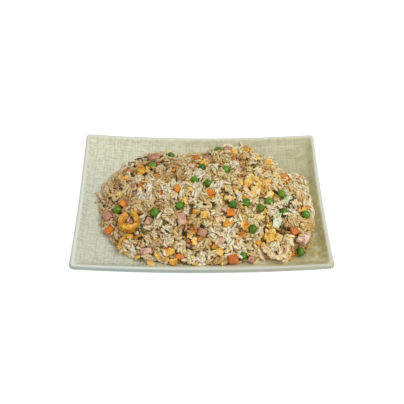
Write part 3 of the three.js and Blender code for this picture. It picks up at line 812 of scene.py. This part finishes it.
def flake(ball, half_sizes, random):
    """A torn flake of omelette: flat, ragged round its edge, folded, and blistered all over."""
    seed = random.uniform(-50, 50)
    angle = np.arctan2(ball[:, 1], ball[:, 0])
    ragged = 1 + 0.45 * noise_at(np.stack([np.cos(angle), np.sin(angle), 0 * angle], -1), 0.55, seed)
    points = ball * half_sizes
    points[:, :2] *= ragged[:, None]
    folds = noise_at(points * (1, 1, 0), 3.4 * MM, seed + 9)
    sideways = noise_at(points * (1, 1, 0), 2.6 * MM, seed + 17)
    points[:, 2] += 2.2 * MM * folds
    points[:, 0] += 0.7 * MM * sideways * ball[:, 2]
    blisters = np.abs(noise_at(points, 1.3 * MM, seed + 25))
    return points + ball * (0.45 * MM * (blisters - 0.2))[:, None]


def laid(x, y, tilt, roll, heap, random):
    """Heights, normals and turns of pieces that lie on the heap at places."""
    z, normals = heap.at(x, y)
    axes = along(normals, any_way(len(x), random), random.normal(0, tilt, len(x)))
    return z, normals, frames_along(axes, random, roll)


def lay_bits(name, places, proportions, shape_of, subdivisions, lift, heap, random):
    """Pieces lying on the heap, their middle a lift above its surface."""
    ball, faces = ball_template(subdivisions)
    x, y = np.array([place[:2] for place in places]).T * MM
    x, y = x + random.normal(0, 0.5 * MM, len(x)), y + random.normal(0, 0.5 * MM, len(x))
    z, normals, turns = laid(x, y, 0.25, 0.45, heap, random)
    shades = shade_at(x, y)
    shapes = []
    for k, place in enumerate(places):
        half = place[2] * MM / 2 * np.array([1, *proportions]) * random.uniform(0.8, 1.2, 3)
        centre = np.array([x[k], y[k], z[k]]) + normals[k] * lift
        centre[2] = max(centre[2], inside_height(x[k], y[k]) + half[2] + 1.2 * MM)
        centre[2] = min(centre[2], CAD_BOX[1][2] - half[2] - BIT_ROOM)
        points = centre + shape_of(ball, half, random) @ turns[k].T
        # the tone follows the given spots: more fried, and at some spots painted shade
        shapes.append((points, faces, random.uniform(0.1, 0.9) + 0.4 * shades[k]))
    return add_joined(name, shapes)


def strip_shape(length, width, thickness, bend, twist, segments=10):
    """A thin pointed strip along X, arched by bend and turned about its length by twist."""
    points, faces = [], []
    for i in range(segments + 1):
        along = i / segments
        half = width / 2 * max(0.12, math.sin(math.pi * along) ** 0.6)
        angle = twist * (along - 0.5)
        lift = bend * math.sin(math.pi * along)
        for across, up in ((-half, 0), (0, thickness / 2), (half, 0), (0, -thickness / 2)):
            y = across * math.cos(angle) - up * math.sin(angle)
            z = across * math.sin(angle) + up * math.cos(angle)
            points.append(((along - 0.5) * length, y + 0.25 * lift, z + lift))
    for i in range(segments):
        for j in range(4):
            a, b = 4 * i + j, 4 * i + (j + 1) % 4
            faces.append([a, a + 4, b + 4, b])
    faces.append([0, 1, 2, 3])
    faces.append([4 * segments + j for j in (3, 2, 1, 0)])
    return np.array(points), faces


def lay_strips(name, places, proportions, heap, random):
    """Slivers that lie on the heap; proportions are width, thickness and bend over their length."""
    x, y = np.array([place[:2] for place in places]).T * MM
    z, _, turns = laid(x, y, 0.2, 0.4, heap, random)
    shapes = []
    for k, place in enumerate(places):
        length = place[2] * MM
        width, thickness, bend = (share * length * random.uniform(0.8, 1.2) for share in proportions)
        strip, faces = strip_shape(length, width, thickness, bend, random.uniform(-1.5, 1.5))
        level = min(z[k] + 2 * MM, CAD_BOX[1][2] - 2 * MM)
        points = np.array([x[k], y[k], level]) + strip @ turns[k].T
        shapes.append((points, faces, random.uniform(0.1, 0.9)))
    return add_joined(name, shapes)


def crumbs(count, size, heap, random):
    """Random places on the heap, mostly in patches, with lengths of about a size, all in mm."""
    x, y = (random.uniform(low * MM, high * MM, 6 * count) for low, high in CRUMB_FIELD)
    patches = noise_at(on_plane(x, y), 16 * MM, 4.4) + random.normal(0, 0.3, len(x))
    kept = heap.holds(x, y) & (patches > 0.15)
    lengths = random.uniform(0.7, 1.3, len(x)) * size
    return np.stack([x / MM, y / MM, lengths], -1)[kept][:count].tolist()


def beside(places, reach, share, heap, random):
    """For each place one more near it on the heap, whose length is a share of the first one's."""
    found = []
    for x, y, size in places:
        x, y = x + random.normal(0, reach), y + random.normal(0, reach)
        if heap.holds(x * MM, y * MM):
            found.append((x, y, share * size))
    return found


def build_bits(heap, materials):
    random = np.random.default_rng(23)
    flakes = [(x, y, 1.5 * size) for x, y, size in EGG_BITS]
    flakes += beside(flakes, 3.5, 0.75, heap, random)
    shreds = beside(flakes, 5, 0.5, heap, random) + crumbs(60, 3.4, heap, random)
    ham = HAM_BITS + crumbs(8, 3.5, heap, random)
    carrots = CARROT_BITS + crumbs(8, 2.6, heap, random)
    rows = [
        # name, slot, food, places, width and thickness over length, shape, subdivisions, lift
        ("egg_flakes", "egg", "egg", flakes, (0.75, 0.2), flake, 4, 1.0 * MM),
        ("egg_shreds", "egg", "egg", shreds, (0.7, 0.3), flake, 3, 0.7 * MM),
        ("ham_bits", "ham", "ham", ham, (0.7, 0.45), dice, 3, 0.6 * MM),
        ("carrot_bits", "carrot", "carrot", carrots, (0.9, 0.75), dice, 3, 0.5 * MM),
        # dark leaf, and dark pieces as painted shade in the deep gaps
        ("leaf_crumbs", "greens", "leaf", DARK_BITS, (0.55, 0.3), flake, 2, 0.1 * MM),
    ]
    made = []
    for name, slot, food, *shaping in rows:
        made.append(finish_piece(lay_bits(name, *shaping, heap, random), materials[food]))
    leaves = lay_strips("leaf_slivers", LEAF_BITS, (0.22, 0.07, 0.12), heap, random)
    return [*made, finish_piece(leaves, materials["leaf"])]


# ---- grains

GRAIN_LENGTH = 7.9 * MM
GRAIN_WIDTH = 2.85 * MM
BROKEN_SHARE = 0.18
STEEP_SHARE = 0.12  # of the grains that cover the heap
CLUMP_DEPTH = 3 * MM  # how much lower the grains lie at the seams between clumps
FOOT_HEIGHT = 9 * MM
STRAY_GRAINS = 16

GRAIN_LAYERS = [
    # spacing and level in mm, and how far inside a clump the grains have to be, where 0 is its seam
    (3.0, -1.9, -1.0),
    (2.9, -0.8, -1.0),
    (3.2, 0.5, 0.3),
]

# Middle and radius of the curl of omelette at the left, which is free of grains, and of the curl at the
# right front, the only topping that the heap's own grains may lie over.
BARE_RING = (-72.4 * MM, -34 * MM, 13 * MM)
NEST = (77 * MM, -57 * MM, 9 * MM)

RICE_KINDS = [
    # name, share of the grains, dull, middle and bright shade
    ("rice_brown", 0.17, ((120, 87, 46), (160, 123, 76), (192, 156, 104))),
    ("rice_golden", 0.29, ((182, 145, 90), (198, 166, 108), (212, 185, 130))),
    ("rice_cream", 0.3, ((208, 182, 130), (219, 198, 150), (229, 213, 171))),
    ("rice_white", 0.24, ((230, 214, 176), (240, 228, 194), (249, 240, 214))),
]


def grain_template(bend, blunt, flat):
    """A cooked grain of length 1 and width 1 along X: points, faces, and a flat map of its corners."""
    rings, sides = 5, 6
    points = [(-0.5, 0, 0)]
    for i in range(rings):
        along = -math.cos(math.pi * (i + 1) / (rings + 1))
        radius = 0.5 * (1 - abs(along) ** blunt) ** 0.5
        for j in range(sides):
            angle = 2 * math.pi * j / sides
            points.append((0.5 * along, radius * math.cos(angle), flat * radius * math.sin(angle)))
    points.append((0.5, 0, 0))
    points = np.array(points)
    points[:, 2] += bend * (1 - 4 * points[:, 0] ** 2)
    corners = []  # of each face, by ring and side; the tips count as rings too
    for j in range(sides):
        corners.append([(-1, j + 0.5), (0, j + 1), (0, j)])
        corners += [[(i, j), (i, j + 1), (i + 1, j + 1), (i + 1, j)] for i in range(rings - 1)]
        corners.append([(rings, j + 0.5), (rings - 1, j), (rings - 1, j + 1)])
    last = len(points) - 1

    def number(i, j):
        return 0 if i < 0 else min(1 + i * sides + int(j) % sides, last)

    faces = [[number(i, j) for i, j in face] for face in corners]
    maps = [((i + 1) / (rings + 1), j / sides) for face in corners for i, j in face]
    return points, faces, np.array(maps)


def across_from(axes):
    """For each unit direction two more, all at right angles."""
    helper = np.where(np.abs(axes[:, 2:3]) < 0.9, [[0.0, 0.0, 1.0]], [[1.0, 0.0, 0.0]])
    first = np.cross(helper, axes)
    first /= np.linalg.norm(first, axis=1, keepdims=True)
    return first, np.cross(axes, first)


def frames_along(axes, random, roll=0.7):
    """For each axis a turn whose first column it is, with a random roll about it."""
    side, up = across_from(axes)
    angle = random.uniform(-roll, roll, len(axes))[:, None]
    turned = side * np.cos(angle) + up * np.sin(angle)
    return np.stack([axes, turned, up * np.cos(angle) - side * np.sin(angle)], -1)


def along(normals, turn, tilt):
    """Directions that head by turn across a surface, and tilt out of it."""
    heading = np.stack([np.cos(turn), np.sin(turn), np.zeros(len(turn))], -1)
    flat = heading - normals * (heading * normals).sum(axis=1, keepdims=True)
    flat /= np.linalg.norm(flat, axis=1, keepdims=True)
    return flat * np.cos(tilt)[:, None] + normals * np.sin(tilt)[:, None]


def any_way(count, random):
    return random.uniform(0, 2 * math.pi, count)


def copied(name, templates, places, turns, sizes, tones):
    """Copies of the templates as one mesh, each with its tone and its own square of the map."""
    cells = math.ceil(math.sqrt(len(places)))
    shapes, maps = [], []
    for k in range(len(places)):
        points, faces, spots = templates[k % len(templates)]
        shapes.append((places[k] + (points * sizes[k]) @ turns[k].T, faces, tones[k]))
        maps.append((np.array([k % cells, k // cells]) + 0.08 + 0.84 * spots) / cells)
    made = add_joined(name, shapes)
    layer = made.data.uv_layers.new(name="OFBake")
    layer.data.foreach_set("uv", np.concatenate(maps).astype(np.float32).ravel())
    return made


def scattered(spacing, heap, random):
    """Jittered places all over the heap."""
    x = np.arange(heap.x.min(), heap.x.max(), spacing)
    y = np.arange(heap.y.min(), heap.y.max(), spacing)
    x, y = (a.ravel() for a in np.meshgrid(x, y))
    x = x + random.uniform(-0.5, 0.5, len(x)) * spacing
    y = y + random.uniform(-0.5, 0.5, len(y)) * spacing
    kept = heap.holds(x, y)
    return x[kept], y[kept]


class Clumps:
    """Clusters of grains that stick together: each has its own level, lean, direction and shade."""

    SPACING = 10.5 * MM
    SEAM = 4.5 * MM  # how far from the border between two clumps the furrow between them reaches

    def __init__(self, heap, random):
        self.x, self.y = scattered(self.SPACING, heap, random)
        count = len(self.x)
        self.level = random.normal(0, 1.2 * MM, count)
        self.turn = any_way(count, random)
        self.lean = random.normal(0, 0.22, count)
        drift = noise_at(on_plane(self.x, self.y), 24 * MM, 2.2)
        # the clump's shade takes in the given spots, some of them painted shade
        self.shade = drift + random.normal(0, 0.5, count) + 1.3 * shade_at(self.x, self.y)

    def find(self, x, y):
        """For places, the index of their clump, and 0 at its border up to 1 well inside."""
        places = on_plane(x, y)
        x = x + 3 * MM * noise_at(places, 6 * MM, 7.7)
        y = y + 3 * MM * noise_at(places, 6 * MM, 8.8)
        apart = np.hypot(x[:, None] - self.x, y[:, None] - self.y)
        nearest = np.partition(apart, 1, axis=1)
        return apart.argmin(axis=1), smoothstep(nearest[:, 1] - nearest[:, 0], 0, self.SEAM)


def heap_grains(heap, clumps, random):
    """Centres and axes of the grains that cover the heap, in layers from the core out."""
    found = []
    for spacing, level, least in GRAIN_LAYERS:
        x, y = scattered(spacing * MM, heap, random)
        clump, inward = clumps.find(x, y)
        kept = inward + random.normal(0, 0.15, len(x)) > least
        x, y, clump, inward = x[kept], y[kept], clump[kept], inward[kept]
        z, normal = heap.at(x, y)
        depth = level * MM + clumps.level[clump] + CLUMP_DEPTH * (inward - 0.7)
        depth = depth + random.normal(0, 0.3 * MM, len(x))
        turn = clumps.turn[clump] + random.normal(0, 0.6, len(x))
        tilt = clumps.lean[clump] * np.cos(turn) + random.normal(0, 0.22, len(x))
        steep = random.random(len(x)) < STEEP_SHARE
        tilt = np.where(steep, random.uniform(0.4, 1.2, len(x)), tilt)
        found.append((np.stack([x, y, z], -1) + normal * depth[:, None], along(normal, turn, tilt)))
    return found


def foot_grains(heap, random):
    """Grains on the heap's steep foot, which a view from above leaves bare."""
    x, y = scattered(2.4 * MM, heap, random)
    z, normal = heap.at(x, y)
    lowest = 1.2 * MM
    ground = inside_height(x, y)
    foot = (normal[:, 2] < 0.82) & (z - ground < FOOT_HEIGHT)
    x, y, z, normal, ground = x[foot], y[foot], z[foot], normal[foot], ground[foot]
    z = ground + lowest + random.random(len(x)) * np.maximum(z - ground - lowest, 0)
    return np.stack([x, y, z], -1), along(normal, any_way(len(x), random), random.normal(0, 0.3, len(x)))


def held(heap, centres, axes):
    """Which grains lie on the heap from end to end."""
    half = 0.45 * GRAIN_LENGTH
    ends = [centres + axes * half, centres - axes * half]
    ragged = 0.5 + 0.2 * noise_at(centres, 8 * MM, 5.6)
    return np.min([heap.read(heap.nearness, end[:, 0], end[:, 1]) for end in ends], axis=0) > ragged


def stray_grains(heap, random):
    """Single grains that lie on the platter just beside the heap."""
    x = random.uniform(heap.x.min(), heap.x.max(), 2000)
    y = random.uniform(heap.y.min(), heap.y.max(), 2000)
    near = heap.read(heap.nearness, x, y)
    kept = (near > 0.25) & (near < 0.45) & (inset_at(x, y) > 8 * MM) & (x < 0.1)
    x, y = x[kept][:STRAY_GRAINS], y[kept][:STRAY_GRAINS]
    normal = np.tile([0.0, 0.0, 1.0], (len(x), 1))
    z = inside_height(x, y) + 0.4 * GRAIN_WIDTH
    return np.stack([x, y, z], -1), along(normal, any_way(len(x), random), np.zeros(len(x)))


def resting_grains(toppings, random):
    """Grains that lie on the toppings, or only against their sides."""
    centres, normals = [], []
    for piece, count, highest in toppings:
        polygons = piece.data.polygons
        normal = np.array([p.normal for p in polygons])
        middle = np.array([p.center for p in polygons])
        area = np.array([p.area for p in polygons]) * (normal[:, 2] > 0) * (normal[:, 2] <= highest)
        area = area * beyond(BARE_RING, middle[:, 0], middle[:, 1])
        chosen = random.choice(len(polygons), count, p=area / area.sum())
        centres.append(middle[chosen] + normal[chosen] * 0.45 * GRAIN_WIDTH)
        normals.append(normal[chosen])
    centres, normals = np.concatenate(centres), np.concatenate(normals)
    return centres, along(normals, any_way(len(centres), random), random.normal(0, 0.12, len(centres)))


def above_platter(centres, axes, length, width):
    """Lifts grains whose middle or ends would be in the platter."""
    need = np.zeros(len(centres))
    for share in (-0.45, 0, 0.45):
        spot = centres + axes * (share * length)[:, None]
        radius = width * (0.5 if share == 0 else 0.35)
        need = np.maximum(need, inside_height(spot[:, 0], spot[:, 1]) + radius - spot[:, 2])
    return centres - np.outer(need, DOWN)


def below_top(centres, axes, length, width):
    """Lowers grains that would stand out above the solids' top."""
    top = centres[:, 2] + np.abs(axes[:, 2]) * length / 2 + width / 2
    return centres + np.outer(np.maximum(top - CAD_BOX[1][2], 0), DOWN)


def over(trees, centres):
    """Which grains would hide a topping close under them, apart from the one in the nest."""
    reach = 9 * MM
    hits = [[tree.ray_cast(Vector(spot), DOWN, reach)[0] is not None for tree in trees] for spot in centres]
    return np.any(hits, axis=1) & beyond(NEST, centres[:, 0], centres[:, 1])


def clear_of(trees, centres, axes, length):
    """Which grains stay out of the other pieces, with their middle and both ends."""
    free = np.ones(len(centres), bool)
    for share, room in ((0, 0.7 * MM), (-0.38, 0.2 * MM), (0.38, 0.2 * MM)):
        spots = centres + axes * (share * length)[:, None]
        for k in np.flatnonzero(free).tolist():
            spot = Vector(spots[k])
            for tree in trees:
                near, normal, _, distance = tree.find_nearest(spot, 5 * MM)
                if near is not None and (distance < room or (spot - near).dot(normal) < 0):
                    free[k] = False
                    break
    return free


def grain_places(heap, clumps, toppings, trees, random):
    """Centres and axes of all the grains that may be laid."""
    found = [*heap_grains(heap, clumps, random), foot_grains(heap, random)]
    inside = [held(heap, *layer) & ~over(trees, layer[0]) for layer in found]
    found = [(centres[kept], axes[kept]) for (centres, axes), kept in zip(found, inside)]
    found += [stray_grains(heap, random), resting_grains(toppings, random)]
    return np.concatenate([f[0] for f in found]), np.concatenate([f[1] for f in found])


def grain_sizes(count, random):
    """Lengths and widths of grains, some of them broken."""
    length = GRAIN_LENGTH * random.normal(1, 0.1, count)
    broken = random.random(count) < BROKEN_SHARE
    length = np.where(broken, length * random.uniform(0.4, 0.7, count), length)
    return length, GRAIN_WIDTH * random.normal(1, 0.08, count)


def whiteness(centres, heap, clumps, random):
    """The grains' order from the brownest to the whitest, from 0 to 1.

    They are whiter to the right, to the front, inside a clump and high up, browner in painted shade
    elsewhere, and more fried beside egg.
    """
    x, y, z = centres.T
    clump, inward = clumps.find(x, y)
    above = z - heap.at(x, y)[0]
    # painted shade: browner to the left, to the back and in the seams between clumps
    score = clumps.shade[clump] + 1.5 * x - 3.0 * y + 0.6 * inward
    score = score + 0.8 * noise_at(centres, 8 * MM, 3.1)
    # painted shade: browner low down among the grains
    score = score + 0.2 * np.clip(above / MM, -2.5, 1) + random.normal(0, 0.24, len(centres))
    for spot_x, spot_y, size in EGG_BITS:
        score = score - 0.5 * closeness(x, y, (spot_x * MM, spot_y * MM), size * MM)
    return np.argsort(np.argsort(score)) / len(score)


def build_rice(heap, toppings, bits):
    random = np.random.default_rng(5)
    clumps = Clumps(heap, random)
    trees = [tree_of(piece.data) for piece in [row[0] for row in toppings] + bits]
    centres, axes = grain_places(heap, clumps, toppings, trees[: len(toppings)], random)
    length, width = grain_sizes(len(centres), random)
    centres = below_top(above_platter(centres, axes, length, width), axes, length, width)
    free = clear_of(trees, centres, axes, length)
    centres, axes, length, width = centres[free], axes[free], length[free], width[free]
    turns = frames_along(axes, random)
    sizes = np.stack([length, width, width], -1)
    order = whiteness(centres, heap, clumps, random)
    templates = [
        grain_template(0.03, 2.8, 0.85),
        grain_template(0.06, 3.2, 0.8),
        grain_template(-0.04, 2.6, 0.9),
        grain_template(0.09, 3.4, 0.82),
    ]
    low = 0.0
    for name, share, colours in RICE_KINDS:
        chosen = (order >= low) & (order < low + share)
        tones = (order[chosen] - low) / share + random.normal(0, 0.2, chosen.sum())
        low += share
        grains = copied(name, templates, centres[chosen], turns[chosen], sizes[chosen], tones)
        finish_piece(grains, rice_material(name, *colours))
    finish_piece(heap.core(), core_material(), ["rice_heap"])


# ---- stage


def build_camera():
    data = bpy.data.cameras.new("camera")
    data.sensor_width = SENSOR
    data.lens = FOCAL_PIXELS * SENSOR / FRAME_PIXELS
    data.clip_start = 0.01
    camera = link("camera", data)
    place = Matrix.Translation(AIM)
    for angle, axis in ((-CAMERA_HEADING, "Z"), (math.pi / 2 - CAMERA_ELEVATION, "X"), (CAMERA_ROLL, "Z")):
        place = place @ Matrix.Rotation(angle, 4, axis)
    camera.matrix_world = place @ Matrix.Translation((0, 0, CAMERA_DISTANCE))
    bpy.context.scene.camera = camera


def add_light(name, place, size, watts, colour):
    data = bpy.data.lights.new(name, "AREA")
    data.shape = "DISK"
    data.size, data.energy, data.color = size, watts, colour
    lamp = link(name, data)
    lamp.location = place
    lamp.rotation_euler = (-Vector(place)).to_track_quat("-Z", "Y").to_euler()


def build_floor():
    reach = 4
    corners = [(-reach, -reach, 0), (reach, -reach, 0), (reach, reach, 0), (-reach, reach, 0)]
    floor = add_mesh("floor", corners, [(0, 1, 2, 3)])
    s = Shader("floor")
    colour = s.ramp(s.noise(0.2, 2), (196, 196, 195), (200, 200, 200))
    floor.data.materials.append(s.finish(colour, 0.9, Emission_Color=(1, 1, 1, 1), Emission_Strength=0.72))


def build_studio():
    """Soft light from the right, a weak warm one from the left, and an even one from all round."""
    add_light("key", (0.5, -0.18, 0.92), 0.7, 5.85, (1.0, 0.99, 0.97))
    add_light("fill", (-0.85, -0.5, 0.5), 0.9, 1.4, (1.0, 0.9, 0.7))
    world = bpy.data.worlds.new("studio")
    world.use_nodes = True
    background = world.node_tree.nodes["Background"].inputs
    background["Color"].default_value = (1.0, 0.95, 0.85, 1)
    background["Strength"].default_value = 0.5
    bpy.context.scene.world = world
    bpy.context.scene.view_settings.view_transform = "Standard"
    bpy.context.scene.view_settings.look = "None"


# ---- assembly

build_camera()
build_studio()
build_floor()
HEAP = Heap()
build_platter(HEAP)
MATERIALS = {name: food_material(name, *values) for name, values in FOODS.items()}
TOPPINGS = build_toppings(MATERIALS)
BITS = build_bits(HEAP, MATERIALS)
build_rice(HEAP, TOPPINGS, BITS)
